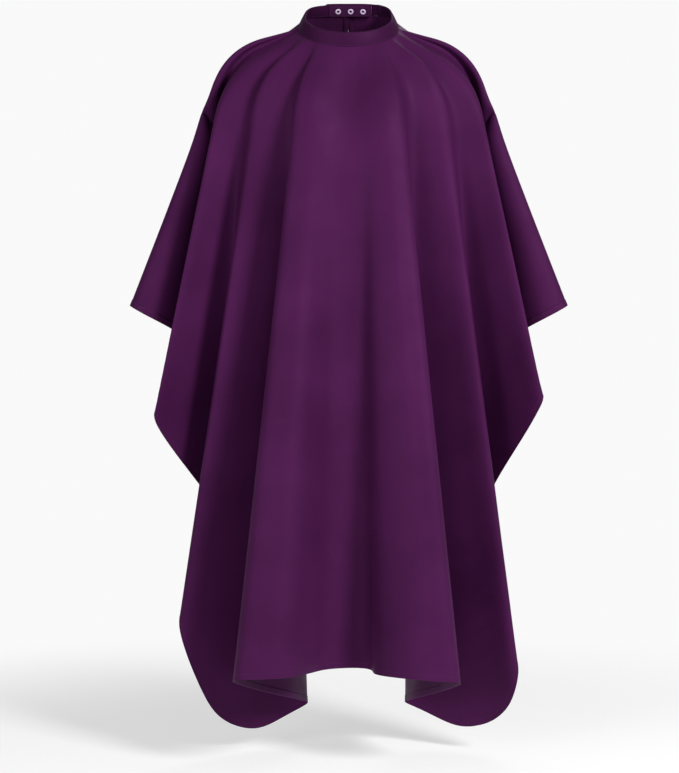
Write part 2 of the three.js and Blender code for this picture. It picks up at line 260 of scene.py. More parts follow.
def on_cut_edge(points):
    """Points near the outline of the flat cloth moved out from the neck on to it, round the corners."""
    moved = points.copy()
    for i, (u, v) in enumerate(points):
        depth = CUT_FRONT if v > 0 else CUT_BACK
        centre = np.array([CUT_HALF_WIDTH - CUT_CORNER, depth - CUT_CORNER])
        away = math.hypot(u, v)
        direction = np.abs([u, v]) / away
        straight = min(CUT_HALF_WIDTH / max(direction[0], 1e-9), depth / max(direction[1], 1e-9))
        if (straight * direction > centre).all():
            middle = direction @ centre
            straight = middle + math.sqrt(middle**2 - centre @ centre + CUT_CORNER**2)
        moved[i] *= straight / away
    return moved


def fold_lines():
    """Neck, resting and hem points of every fold, and the ends of each on the flat cloth."""
    cut = np.array([f[0] for f in FOLDS]) * MM
    azimuth = np.unwrap(np.radians([f[1] for f in FOLDS]))
    neck = np.array([band_point(f[1], -SEAM_DROP) for f in FOLDS])
    rest = np.array([f[2] for f in FOLDS]) * MM
    hem_plan = np.array([f[3] for f in FOLDS]) * MM
    return cut, azimuth, neck, rest, hem_plan


def hem_heights(neck, rest, hem_plan, hole, cut):
    """The length of cloth in each column sets how low its hem hangs."""
    lower = np.linalg.norm(cut - hole, axis=1) - np.linalg.norm(rest - neck, axis=1)
    out = np.linalg.norm(hem_plan - rest[:, :2], axis=1)
    return np.column_stack([hem_plan, rest[:, 2] - np.sqrt(lower**2 - out**2)])


def columns_of_cloth():
    """For each column: neck, rest and hem in space, and hole and cut points on the flat cloth."""
    cut, azimuth, neck, rest, hem_plan = fold_lines()
    count = len(FOLDS)
    hole = NECK_HOLE * np.column_stack([np.sin(azimuth), np.cos(azimuth)])
    hem = hem_heights(neck, rest, hem_plan, hole, cut)
    where, share, slit_column = [], [], 0
    for i in range(count):
        if i == SLIT_FOLD:
            slit_column = len(where)
        span = np.linalg.norm(cut[(i + 1) % count] - cut[i])
        pieces = 4 * max(1, round(span / COLUMN_SPACING / 4))
        fine = np.linspace(0, 0.9999, 60)
        path = through_folds(hem, i + fine)
        walked = np.concatenate([[0], np.cumsum(np.linalg.norm(np.diff(path, axis=0), axis=1))])
        even = np.arange(pieces) / pieces
        where.extend(i + np.interp(even * walked[-1], walked, fine))
        share.extend(i + even)
    where, share = np.array(where), np.array(share)
    start = np.floor(share).astype(int)
    t = (share - start)[:, None]
    cut_here = on_cut_edge(cut[start] * (1 - t) + cut[(start + 1) % count] * t)
    turns = np.append(azimuth, azimuth[0] + 2 * math.pi)
    angle = np.interp(where, np.arange(count + 1), turns)
    hole_here = NECK_HOLE * np.column_stack([np.sin(angle), np.cos(angle)])
    neck_here, rest_here = through_folds(neck, where), through_folds(rest, where)
    plan_here = through_folds(hem_plan, where)
    hem_here = hem_heights(neck_here, rest_here, plan_here, hole_here, cut_here)
    return neck_here, rest_here, hem_here, hole_here, cut_here, slit_column


def along_columns(neck, rest, hem, share):
    """Points a given share of the way along neck, rest, hem, with the bend at rest rounded off."""
    upper = np.linalg.norm(rest - neck, axis=1)[:, None]
    lower = np.linalg.norm(hem - rest, axis=1)[:, None]
    bend = np.minimum(0.55 * upper, SHOULDER_ROUNDING)
    distance = (upper + lower) * share
    straight = np.where(
        distance < upper,
        neck + (rest - neck) * distance / upper,
        rest + (hem - rest) * (distance - upper) / lower,
    )
    q = (distance - upper + bend) / (2 * bend)
    before = rest + (neck - rest) * bend / upper
    after = rest + (hem - rest) * bend / lower
    curved = (1 - q) ** 2 * before + 2 * q * (1 - q) * rest + q**2 * after
    return np.where((q > 0) & (q < 1), curved, straight)


def spread_by_length(neck, rest, hem):
    """The grid of points, row by row, evenly spaced down each column from the neck to the hem."""
    fine = np.array([along_columns(neck, rest, hem, s) for s in np.linspace(0, 1, 250)])
    steps = np.linalg.norm(np.diff(fine, axis=0), axis=2)
    walked = np.concatenate([np.zeros((1, len(neck))), np.cumsum(steps, axis=0)])
    grid = np.empty((ROWS + 1, len(neck), 3))
    for column in range(len(neck)):
        wanted = np.linspace(0, walked[-1, column], ROWS + 1)
        for axis in range(3):
            grid[:, column, axis] = np.interp(wanted, walked[:, column], fine[:, column, axis])
    return grid


class Sheet:
    """The cloth as a grid: row 0 is the neck edge, the last row the hem, and the slit parts one column."""

    def __init__(self):
        neck, rest, hem, hole, cut, self.slit = columns_of_cloth()
        self.columns = len(neck)
        shares = np.linspace(0, 1, ROWS + 1)
        grid = spread_by_length(neck, rest, hem)
        flat = np.array([hole * (1 - s) + cut * s for s in shares])
        self.slit_rows = 4 * round(SLIT_LENGTH / (CUT_BACK - NECK_HOLE) * ROWS / 4)
        parted = np.arange(self.slit_rows) * self.columns + self.slit
        aside = np.array([SLIT_HALF_GAP, 0, 0])
        self.points = np.concatenate([grid.reshape(-1, 3), grid.reshape(-1, 3)[parted] - aside])
        self.points[parted] += aside
        self.flat = np.concatenate([flat.reshape(-1, 2), flat.reshape(-1, 2)[parted]])
        self.tuck_into_band(hole)
        down = shares[:, None] * np.linalg.norm(cut - hole, axis=1) - np.linalg.norm(rest - neck, axis=1)
        self.below_rest = np.concatenate([down.ravel(), down.ravel()[parted]])[:, None]
        self.pinned = np.zeros(len(self.points), bool)
        self.pinned[: self.columns] = True
        self.pinned[self.columns * (ROWS + 1)] = True

    def tuck_into_band(self, hole):
        """Brings the neck edge into the band, and the rows under it part of the way."""
        azimuths = np.degrees(np.arctan2(hole[:, 0], hole[:, 1]))
        azimuths[self.slit] = 180.0
        moves = np.array([tuck(azimuth) for azimuth in azimuths])
        for row in range(TUCK_ROWS):
            fade = (1 - row / TUCK_ROWS) ** 2
            self.points[row * self.columns : (row + 1) * self.columns] += fade * moves
            self.points[self.index(row, self.slit, 1)] += fade * tuck(-180.0)

    def index(self, row, column, toward=0):
        """The point at a row and column; on the slit, the one whose neighbours lie the given way round."""
        if column % self.columns == self.slit and row < self.slit_rows and toward > 0:
            return self.columns * (ROWS + 1) + row
        return row * self.columns + column % self.columns

    def faces(self):
        made = []
        for row in range(ROWS):
            for column in range(self.columns):
                a, b = self.index(row, column, 1), self.index(row, column + 1, -1)
                c, d = self.index(row + 1, column + 1, -1), self.index(row + 1, column, 1)
                made.append((a, d, c, b))
        return made

    def pairs(self, down, along, step):
        """Every two points that lie so many rows and columns apart, in two sets that share no point."""
        sets = ([], [])
        for row in range(0, ROWS + 1 - down * step, step):
            for column in range(0, self.columns, step):
                parted = row < self.slit_rows and step == 1
                if parted and along > 1 and (column + 1) % self.columns == self.slit:
                    continue
                sides = (-1, 1) if parted and along == 0 and column == self.slit else (along,)
                for side in sides:
                    start = self.index(row, column, side if step == 1 else -1)
                    end_side = (side if along == 0 else -along) if step == 1 else -1
                    end = self.index(row + down * step, column + along * step, end_side)
                    parity = row // (step * down) if down else column // (step * along)
                    sets[parity % 2].append((start, end))
        return [np.array(s) for s in sets]


def relaxed(sheet, points, step, cycles):
    """Points after the most stretched and crumpled cloth between every so many rows and columns gives."""
    springs = []
    for down, along, stiffness in SPRINGS:
        for pairs in sheet.pairs(down, along, step):
            start, end = pairs.T
            as_cut = np.linalg.norm(sheet.flat[start] - sheet.flat[end], axis=1)
            as_hung = np.linalg.norm(sheet.points[start] - sheet.points[end], axis=1)
            rest = np.clip(as_hung, LEAST_EASE * as_cut, MOST_EASE * as_cut)[:, None]
            free_start, free_end = (~sheet.pinned[start])[:, None], (~sheet.pinned[end])[:, None]
            total = np.maximum(free_start.astype(float) + free_end, 1)
            springs.append((start, end, rest, stiffness * free_start / total, stiffness * free_end / total))
    if step == 1:
        one_side = np.arange(1, sheet.slit_rows) * sheet.columns + sheet.slit
        other_side = sheet.columns * (ROWS + 1) + np.arange(1, sheet.slit_rows)
        springs.append((one_side, other_side, 2 * SLIT_HALF_GAP, 0.5, 0.5))
    carried = 1 - smoothstep(sheet.below_rest, HANG_FROM, HANG_TO)
    hold = np.where(sheet.pinned[:, None], 1.0, HOLD_LOW + (HOLD_HIGH - HOLD_LOW) * carried)
    goal = points
    points = goal.copy()
    moving = np.zeros_like(points)
    fall = np.where(sheet.pinned[:, None], 0.0, 1.0) * np.array([0, 0, -GRAVITY * step])
    for _ in range(cycles):
        before = points.copy()
        points += DRIFT * moving + fall
        points += hold * (goal - points)
        for start, end, rest, give_start, give_end in springs:
            apart = points[end] - points[start]
            length = np.sqrt(np.einsum("ij,ij->i", apart, apart))[:, None]
            apart *= 1 - rest / np.maximum(length, 1e-6)
            points[start] += give_start * apart
            points[end] -= give_end * apart
        moving = points - before
    return points


def finer(values, times, closed):
    """Values along the first axis with smooth ones added between them."""
    count = len(values)
    where = np.arange(count * times if closed else (count - 1) * times + 1) / times
    start = np.floor(where).astype(int)
    t = (where - start).reshape([-1] + [1] * (values.ndim - 1))
    around = [(start + i) % count if closed else np.clip(start + i, 0, count - 1) for i in (-1, 0, 1, 2)]
    before, at, after, beyond = (values[i] for i in around)
    squared = 2 * before - 5 * at + 4 * after - beyond
    cubed = 3 * at - before - 3 * after + beyond
    return at + 0.5 * t * (after - before + t * (squared + t * cubed))


def settle(sheet):
    """Eases the most stretched and crumpled cloth, in the large folds first and then the small ones."""
    points = sheet.points
    size = sheet.columns * (ROWS + 1)
    for step, cycles in LEVELS:
        moved = relaxed(sheet, points, step, cycles) - points
        grid = moved[:size].reshape(ROWS + 1, sheet.columns, 3)
        if step > 1:
            grid = finer(grid[::step, ::step], step, False)
            grid = finer(grid.transpose(1, 0, 2), step, True).transpose(1, 0, 2)
            parted = grid[: sheet.slit_rows, sheet.slit]
        else:
            parted = moved[size:]
        points = points + np.concatenate([grid.reshape(-1, 3), parted])
    return points


class Drape:
    """The finished cloth as a finer grid. Its first and last columns are the two sides of the slit."""

    def __init__(self, sheet, points):
        self.slit_rows = 2 * sheet.slit_rows
        size = sheet.columns * (ROWS + 1)
        shape = np.column_stack([points, sheet.flat])
        grid = np.roll(shape[:size].reshape(ROWS + 1, sheet.columns, 5), -sheet.slit, axis=1)
        opened = np.concatenate([grid, grid[:, :1]], axis=1)
        opened[: sheet.slit_rows, 0] = shape[size:]
        padded = np.concatenate([grid[:, -2:], opened, grid[:, 1:3]], axis=1)
        smooth = padded.copy()
        smooth[1:, 1:-1] = (padded[1:, :-2] + 2 * padded[1:, 1:-1] + padded[1:, 2:]) / 4
        smooth[: sheet.slit_rows, 2] = opened[: sheet.slit_rows, 0]
        smooth[: sheet.slit_rows, -3] = opened[: sheet.slit_rows, -1]
        wide = finer(smooth.transpose(1, 0, 2), 2, False)[4:-4].transpose(1, 0, 2)
        tall = finer(wide, 2, False)
        self.grid, self.flat = tall[:, :, :3], tall[:, :, 3:]
        self.rows, self.columns = self.grid.shape[0] - 1, self.grid.shape[1] - 1
        along = np.gradient(self.grid, axis=1)
        along[:, 0] = along[:, -1] = (along[:, 0] + along[:, -1]) / 2
        down = np.gradient(self.grid, axis=0)
        outward = np.cross(down, along)
        self.normal = outward / np.linalg.norm(outward, axis=2, keepdims=True)

    def mesh(self, name, material):
        index = np.arange((self.rows + 1) * (self.columns + 1)).reshape(self.rows + 1, self.columns + 1)
        index[self.slit_rows:, -1] = index[self.slit_rows:, 0]
        corners = [index[:-1, :-1], index[1:, :-1], index[1:, 1:], index[:-1, 1:]]
        faces = np.stack([c.ravel() for c in corners], axis=1)
        used, faces = np.unique(faces, return_inverse=True)
        faces = faces.reshape(-1, 4)
        piece = new_mesh(name, self.grid.reshape(-1, 3)[used], faces.tolist(), material)
        cut = piece.data.uv_layers.new(name="cut")
        cut.data.foreach_set("uv", self.flat.reshape(-1, 2)[used][faces.ravel()].ravel())
        return piece

    def in_from_hem(self, distance, lift):
        """The loop of points a distance in from the hem, square to it, raised along the outward normal."""
        flat, grid = self.flat[:, :-1], self.grid[:, :-1]
        column = flat[-1] - flat[-2]
        column /= np.linalg.norm(column, axis=1)[:, None]
        edge = np.roll(flat[-1], -1, axis=0) - np.roll(flat[-1], 1, axis=0)
        edge /= np.linalg.norm(edge, axis=1)[:, None]
        slant = np.abs(column[:, 0] * edge[:, 1] - column[:, 1] * edge[:, 0])
        rows = grid[::-1][:14]
        walked = np.cumsum(np.linalg.norm(np.diff(rows, axis=0, prepend=rows[:1]), axis=2), axis=0)
        points = np.empty((self.columns, 3))
        for i in range(self.columns):
            for axis in range(3):
                points[i, axis] = np.interp(abs(distance) / slant[i], walked[:, i], rows[:, i, axis])
        if distance < 0:
            points = 2 * grid[-1] - points
        return points + lift * self.normal[-1, :-1]

    def beside_slit(self, side, distance, lift):
        """Points down one side of the slit, a distance from its edge, raised along the outward normal."""
        rows = slice(1, self.slit_rows + 1)
        grid, normal = self.grid[rows], self.normal[rows]
        if side < 0:
            grid, normal = grid[:, ::-1], normal[:, ::-1]
        near = grid[:, :14]
        walked = np.cumsum(np.linalg.norm(np.diff(near, axis=1, prepend=near[:, :1]), axis=2), axis=1)
        points = np.empty((len(near), 3))
        for i in range(len(near)):
            for axis in range(3):
                points[i, axis] = np.interp(abs(distance), walked[i], near[i, :, axis])
        if distance < 0:
            points = 2 * grid[:, 0] - points
        return points + lift * normal[:, 0]


def loft(name, rows, material, around=True, along=False, ends=(True, True)):
    """A surface through rows of points.

    around closes each row on itself, and along joins the last row to the first.
    """
    grid = np.array(rows)
    count, width = grid.shape[:2]
    faces = []
    for i in range(count if along else count - 1):
        for j in range(width if around else width - 1):
            a, b = i * width + j, i * width + (j + 1) % width
            c, d = (i + 1) % count * width + (j + 1) % width, (i + 1) % count * width + j
            faces.append((a, b, c, d))
    if around and not along and ends[0]:
        faces.append(tuple(range(width))[::-1])
    if around and not along and ends[1]:
        faces.append(tuple((count - 1) * width + j for j in range(width)))
    return new_mesh(name, grid.reshape(-1, 3), faces, material)


def stitches(name, runs, material, pitch=2.8 * MM, length=2.1 * MM, half=0.16 * MM):
    """Rows of short thread lozenges. Each run is its path and the outward direction at each point."""
    points, faces = [], []
    for path, outward in runs:
        steps = np.linalg.norm(np.diff(path, axis=0), axis=1)
        walked = np.concatenate([[0], np.cumsum(steps)])
        count = max(1, int(walked[-1] / pitch))
        middles = (np.arange(count) + 0.5) * walked[-1] / count
        at = [
            np.column_stack([np.interp(middles + along, walked, path[:, k]) for k in range(3)])
            for along in (-length / 2, 0, length / 2)
        ]
        up = np.column_stack([np.interp(middles, walked, outward[:, k]) for k in range(3)])
        run = at[2] - at[0]
        side = np.cross(run, up)
        side /= np.maximum(np.linalg.norm(side, axis=1), 1e-9)[:, None]
        for low, centre, high, u, s in zip(at[0], at[1], at[2], up, side):
            base = len(points)
            points += [low, centre + half * s, centre + half * u, centre - half * s, centre - half * u, high]
            for k in range(4):
                faces.append((base, base + 1 + k, base + 1 + (k + 1) % 4))
                faces.append((base + 5, base + 1 + (k + 1) % 4, base + 1 + k))
    return new_mesh(name, points, faces, material)


def ply_profile(inner, outer, bottom, top, faces_out=True, puff=0.35 * MM):
    """A ply's section as offsets and heights: rounded edges, and a crown between its two stitch lines."""
    height = top - bottom
    edge, line = 0.6 * MM, STITCH_IN
    relief = [(0, -0.3 * MM), (edge, 0), (line, -0.15 * MM), (1.8 * line, 0.5 * puff), (height / 2, puff)]
    relief += [(height - h, r) for h, r in relief[-2::-1]]
    shown = [(outer + r if faces_out else inner - r, bottom + h) for h, r in relief]
    hidden = [(inner if faces_out else outer, bottom + h) for h, _ in relief[::-1]]
    return shown + hidden


def band_sections(azimuths, profile, shift=lambda azimuth: 0.0, corner=None):
    rows = []
    for azimuth in azimuths:
        squeeze = corner(azimuth) if corner else 1.0
        middle = BAND_HEIGHT / 2
        rows.append([
            band_point(azimuth, middle + (height - middle) * squeeze, offset + shift(azimuth))
            for offset, height in profile
        ])
    return rows


def band_path(azimuths, height, offset, shift=lambda azimuth: 0.0):
    path = np.array([band_point(a, height, offset + shift(a)) for a in azimuths])
    sign = 1 if offset > 0 else -1
    out = np.array([band_point(a, height, offset + 1 * MM) - band_point(a, height, offset) for a in azimuths])
    return path, sign * out / np.linalg.norm(out, axis=1)[:, None]


def turned(name, profile, x, offset, material, sides=56):
    """A profile of radius and height turned about the axis that faces out of the back of the band."""
    azimuth = azimuth_at_back(x)
    base = band_point(azimuth, BAND_HEIGHT / 2)
    out = band_point(azimuth, BAND_HEIGHT / 2, 1 * MM) - base
    out /= np.linalg.norm(out)
    right = np.cross(out, [0, 0, 1])
    right /= np.linalg.norm(right)
    up = np.cross(right, out)
    base = base + offset * out
    rows = []
    for radius, height in profile:
        angles = np.arange(sides) * 2 * math.pi / sides
        rows.append([base + radius * (math.cos(a) * right + math.sin(a) * up) + height * out for a in angles])
    closed = profile[0] == profile[-1]
    piece = loft(name, rows[:-1] if closed else rows, material, around=True, along=closed)
    return piece


# ---- materials -------------------------------------------------------------------------------------


class Finish:
    """A node material on the Principled shader, built up from noise, weave and bump."""

    def __init__(self, name, roughness, colour, sheen=0.0, specular=0.3, sheen_tint=(1, 1, 1)):
        self.material = bpy.data.materials.new(name)
        self.material.use_nodes = True
        self.tree = self.material.node_tree
        self.shader = self.tree.nodes["Principled BSDF"]
        self.shader.inputs["Roughness"].default_value = roughness
        self.shader.inputs["Base Color"].default_value = (*colour, 1)
        self.shader.inputs["Sheen Weight"].default_value = sheen
        self.shader.inputs["Sheen Roughness"].default_value = 0.35
        self.shader.inputs["Sheen Tint"].default_value = (*sheen_tint, 1)
        self.shader.inputs["Specular IOR Level"].default_value = specular
        self.place = self.add("ShaderNodeTexCoord")
        self.last_bump = None

    def add(self, kind, **settings):
        node = self.tree.nodes.new(kind)
        for key, value in settings.items():
            setattr(node, key, value)
        return node

    def link(self, source, target):
        self.tree.links.new(source, target)

    def noise(self, scale, detail=4, on="Object"):
        node = self.add("ShaderNodeTexNoise")
        node.inputs["Scale"].default_value = scale
        node.inputs["Detail"].default_value = detail
        self.link(self.place.outputs[on], node.inputs["Vector"])
        return node.outputs["Fac"]

    def threads(self, per_metre, direction, on):
        node = self.add("ShaderNodeTexWave", bands_direction=direction)
        node.inputs["Scale"].default_value = per_metre / WAVES_PER_UNIT
        node.inputs["Distortion"].default_value = 0.4
        self.link(self.place.outputs[on], node.inputs["Vector"])
        return node.outputs["Fac"]

    def between(self, factor, low, high, target, low_at=0.3, high_at=0.7):
        ramp = self.add("ShaderNodeValToRGB")
        ramp.color_ramp.elements[0].position, ramp.color_ramp.elements[1].position = low_at, high_at
        ramp.color_ramp.elements[0].color, ramp.color_ramp.elements[1].color = (*low, 1), (*high, 1)
        self.link(factor, ramp.inputs["Fac"])
        self.link(ramp.outputs["Color"], self.shader.inputs[target])

    def bump(self, height, strength, distance):
        node = self.add("ShaderNodeBump")
        node.inputs["Strength"].default_value = strength
        node.inputs["Distance"].default_value = distance
        self.link(height, node.inputs["Height"])
        if self.last_bump:
            self.link(self.last_bump, node.inputs["Normal"])
        self.last_bump = node.outputs["Normal"]
        self.link(self.last_bump, self.shader.inputs["Normal"])


WAVES_PER_UNIT = 20 / (2 * math.pi)
DARK_PLUM, PLUM = (0.040, 0.0062, 0.039), (0.054, 0.0088, 0.053)
MATT = (0.6, 0.72)


def woven(name, dark, light, on, thread_count=1100, sheen=0.04, roughness=(0.42, 0.56)):
    finish = Finish(name, roughness[0], light, sheen, 0.07, (0.7, 0.15, 0.7))
    finish.shader.inputs["Specular Tint"].default_value = (0.8, 0.35, 0.8, 1)
    finish.between(finish.noise(7, 6), dark, light, "Base Color")
    finish.between(finish.noise(24, 5), (roughness[0],) * 3, (roughness[1],) * 3, "Roughness")
    finish.bump(finish.noise(34, 3), 0.12, 0.004)
    finish.bump(finish.threads(thread_count, "X", on), 0.22, 0.0002)
    finish.bump(finish.threads(thread_count, "Y" if on == "UV" else "Z", on), 0.22, 0.0002)
    return finish.material


def thread_finish(name, colour):
    finish = Finish(name, 0.6, colour, 0.3)
    finish.between(finish.noise(900, 2), tuple(0.7 * c for c in colour), colour, "Base Color")
    finish.bump(finish.threads(2600, "DIAGONAL", "Object"), 0.5, 0.0001)
    return finish.material


def resin_finish(name, dark, light):
    finish = Finish(name, 0.3, light, specular=0.5)
    finish.between(finish.noise(60, 5), dark, light, "Base Color")
    finish.between(finish.noise(420, 6), (0.26,) * 3, (0.42,) * 3, "Roughness")
    finish.bump(finish.noise(1500, 3), 0.08, 0.0002)
    return finish.material


SATIN = woven("cape_satin", DARK_PLUM, PLUM, "UV")
# Painted shade: the neckband's, rim piping's and tab's outer satin is the cape's satin painted about 0.62
# times as dark, standing in for the shade on the collar.
BAND_SATIN_PAINTED_SHADE = woven("band_satin_painted_shade", (0.024, 0.0037, 0.023), (0.034, 0.0055, 0.033), "Object", 900)
LINING = woven("band_lining", (0.022, 0.0035, 0.021), (0.032, 0.005, 0.031), "Object", 800, 0.08, MATT)
PATCH_CLOTH = woven("patch_lining", (0.030, 0.006, 0.030), (0.044, 0.009, 0.043), "Object", 800, 0.1, MATT)
TAPE = woven("binding_tape", (0.034, 0.0055, 0.033), (0.048, 0.008, 0.047), "Object", 620, 0.1, (0.5, 0.62))
INTERFACING = woven("interlining", (0.62, 0.58, 0.62), (0.72, 0.68, 0.72), "Object", 500, 0.0, (0.8, 0.9))
THREAD = thread_finish("sewing_thread", (0.070, 0.014, 0.068))
RESIN = resin_finish("snap_resin", (0.52, 0.42, 0.58), (0.62, 0.52, 0.68))

# ---- the cloth -------------------------------------------------------------------------------------

sheet = Sheet()
drape = Drape(sheet, settle(sheet))
cape = drape.mesh("cape_cloth_sheet", SATIN)

HEM_WIDTH, HEM_STITCH = 11, 9
HEM_PROFILE = [
    (0, 0.3),
    (-0.5, -0.2),
    (0, -0.75),
    (3, -0.8),
    (HEM_STITCH, -0.6),
    (HEM_WIDTH, -0.75),
    (HEM_WIDTH + 0.3, -0.1),
]
hem_rows = np.array([drape.in_from_hem(d * MM, lift * MM) for d, lift in HEM_PROFILE])
hem = loft("hem_fold", hem_rows.transpose(1, 0, 2), SATIN, around=False, along=True)


def closed_run(distance, lift, sign):
    """A closed line of stitches round the hem, on its outside or its inside."""
    path = drape.in_from_hem(distance, lift)
    out = sign * drape.normal[-1, :-1]
    return np.concatenate([path, path[:1]]), np.concatenate([out, out[:1]])


hem_runs = [closed_run(HEM_STITCH * MM, 0.08 * MM, 1), closed_run(HEM_STITCH * MM, -0.72 * MM, -1)]
hem_thread = stitches("hem_stitching", hem_runs, THREAD, 3.2 * MM)

TAPE_WIDTH = 9
TAPE_HALF_PROFILE = [
    (TAPE_WIDTH, 0.1),
    (TAPE_WIDTH - 0.3, 0.75),
    (0.5 * TAPE_WIDTH, 0.85),
    (0.3, 0.8),
    (-0.4, 0.3),
]
TAPE_PROFILE = TAPE_HALF_PROFILE + [(d, -lift) for d, lift in TAPE_HALF_PROFILE[::-1]]
cape_pieces = [hem, hem_thread]
for side, hand in ((1, "left"), (-1, "right")):
    rows = np.array([drape.beside_slit(side, d * MM, lift * MM) for d, lift in TAPE_PROFILE])
    tape = loft("slit_tape_" + hand, rows.transpose(1, 0, 2), TAPE)
    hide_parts("slit_binding_" + hand)
    out = drape.normal[1: drape.slit_rows + 1, 0]
    line = (TAPE_WIDTH - 1.5) * MM
    runs = [(drape.beside_slit(side, line, sign * 0.95 * MM), sign * out) for sign in (1, -1)]
    thread = stitches("slit_stitching_" + hand, runs, THREAD)
    cape_pieces += [tape, thread]

# ---- the neckband ----------------------------------------------------------------------------------

underlap_end = azimuth_at_back(UNDERLAP_END) - 360
tab_starts = azimuth_at_back(TAB_STARTS)
round_band = np.linspace(underlap_end, tab_starts, 230)
outer_profile = ply_profile(STIFFENER_HALF, BAND_HALF, 0, BAND_HEIGHT)
inner_profile = ply_profile(-BAND_HALF, -STIFFENER_HALF, 0, BAND_HEIGHT, faces_out=False)
band_outer = loft("neckband_outer_fabric", band_sections(round_band, outer_profile, inset), BAND_SATIN_PAINTED_SHADE)
band_inner = loft("neckband_inner_fabric", band_sections(round_band, inner_profile, inset), LINING)
rim = [(STIFFENER_HALF * math.cos(a) * 4, BAND_HEIGHT - 0.3 * MM + 0.9 * MM * math.sin(a))
       for a in np.linspace(0, 2 * math.pi, 12, endpoint=False)]
band_rim = loft("neckband_rim_piping", band_sections(round_band, rim, inset), BAND_SATIN_PAINTED_SHADE)
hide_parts("neckband_outer_ply")
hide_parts("neckband_inner_ply")
band_runs = [band_path(round_band, height, sign * (BAND_HALF - 0.05 * MM), inset)
             for height in (STITCH_IN, BAND_HEIGHT - STITCH_IN) for sign in (1, -1)]
band_thread = stitches("neckband_stitching", band_runs, THREAD, 2.6 * MM, 1.9 * MM)

patch_outer = -UNDERLAP_INSET - BAND_HALF - GAP
patch_inner = patch_outer - 0.7 * MM
patch_azimuths = np.linspace(azimuth_at_back(PATCH_TO), azimuth_at_back(PATCH_FROM), 60)
low, high = (BAND_HEIGHT - PATCH_HEIGHT) / 2, (BAND_HEIGHT + PATCH_HEIGHT) / 2
patch_profile = ply_profile(patch_inner, patch_outer, low, high, False, 0.1 * MM)
patch = loft("snap_patch_fabric", band_sections(patch_azimuths, patch_profile), PATCH_CLOTH)
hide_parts("snap_patch")
patch_face = patch_inner - 0.02 * MM
patch_runs = [band_path(patch_azimuths[2:-2], h, patch_face) for h in (low + 1.6 * MM, high - 1.6 * MM)]
for x in (PATCH_TO - 2 * MM, PATCH_FROM + 2 * MM):
    ends = azimuth_at_back(x)
    heights = np.linspace(low + 2 * MM, high - 2 * MM, 8)
    path = np.array([band_point(ends, h, patch_face) for h in heights])
    inward = band_point(ends, low, patch_inner - 1 * MM) - band_point(ends, low, patch_inner)
    patch_runs.append((path, np.tile(inward / np.linalg.norm(inward), (8, 1))))
patch_thread = stitches("patch_stitching", patch_runs, THREAD, 2.4 * MM, 1.8 * MM)
interlining = bpy.data.objects["neckband_interlining"]
interlining.data.materials.clear()
interlining.data.materials.append(INTERFACING)

# ---- the tab ---------------------------------------------------------------------------------------

TAB_PARTS = [("root", TAB_STARTS, SNAP_X[0]), ("middle", SNAP_X[0], SNAP_X[1]), ("tip", SNAP_X[1], TAB_TIP)]
TAB_BODIES = ["cape_body", "tab_root", "tab_middle", "tab_tip"]
TAB_BENDS = [TAB_ROOT, (SNAP_X[0] + SNAP_X[1]) / 2, (SNAP_X[1] + SNAP_X[2]) / 2]
tip_azimuth = azimuth_at_back(TAB_TIP)


def tab_corner(azimuth):
    """How much of the tab's height is left, near its rounded free end."""
    left = band_point(azimuth, BAND_HEIGHT / 2)[0] - TAB_TIP
    if left >= TIP_ROUND:
        return 1.0
    short = TIP_ROUND - math.sqrt(max(TIP_ROUND**2 - (TIP_ROUND - left) ** 2, 0))
    return 1 - 2 * short / BAND_HEIGHT


def bend_here(piece, number):
    """Bakes the piece's transform into its mesh. The ends of the bend between two of the tab's lengths are
    found but not used, so nothing bends.
    """
    bend = TAB_BENDS[number]
    start = band_point(azimuth_at_back(bend + BEND_REACH), BAND_HEIGHT / 2)
    end = band_point(azimuth_at_back(bend - BEND_REACH), BAND_HEIGHT / 2)
    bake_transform(piece)


tab_outer = ply_profile(0.15 * MM, TAB_HALF, 0.5 * MM, BAND_HEIGHT, True, 0.2 * MM)
tab_inner = ply_profile(-TAB_HALF, -0.15 * MM, 0.5 * MM, BAND_HEIGHT, False, 0.1 * MM)
TAB_PLIES = (
    ("outer", tab_outer, BAND_SATIN_PAINTED_SHADE, "cape_satin"),
    ("inner", tab_inner, LINING, "band_lining"),
)
for number, (part, start, end) in enumerate(TAB_PARTS):
    azimuths = np.linspace(azimuth_at_back(start), azimuth_at_back(end), 40)
    if part == "tip":
        near_tip = azimuth_at_back(TAB_TIP + TIP_ROUND)
        straight = np.linspace(azimuths[0], near_tip, 36)[:-1]
        azimuths = np.concatenate([straight, np.linspace(near_tip, tip_azimuth, 12)])
    for ply, profile, finish, slot in TAB_PLIES:
        sections = band_sections(azimuths, profile, corner=tab_corner)
        ends = (part == "root", part == "tip")
        piece = loft(f"tab_{part}_{ply}_fabric", sections, finish, ends=ends)
        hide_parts(f"tab_{part}_{ply}_ply")
        bend_here(piece, number)
    stop = azimuths if part != "tip" else azimuths[:36]
    runs = [band_path(stop, height, sign * (TAB_HALF - 0.03 * MM))
            for height in (STITCH_IN + 0.5 * MM, BAND_HEIGHT - STITCH_IN) for sign in (1, -1)]
    if part == "tip":
        for sign in (1, -1):
            heights = np.linspace(4 * MM, BAND_HEIGHT - 4 * MM, 8)
            at = azimuth_at_back(TAB_TIP + STITCH_IN)
            path = np.array([band_point(at, h, sign * (TAB_HALF - 0.03 * MM)) for h in heights])
            out = band_point(at, 0, sign * 2 * MM) - band_point(at, 0, 0)
            runs.append((path, np.tile(out / np.linalg.norm(out), (8, 1))))
    thread = stitches(f"tab_{part}_stitching", runs, THREAD, 2.6 * MM, 1.9 * MM)
    bend_here(thread, number)

# ---- the snaps -------------------------------------------------------------------------------------

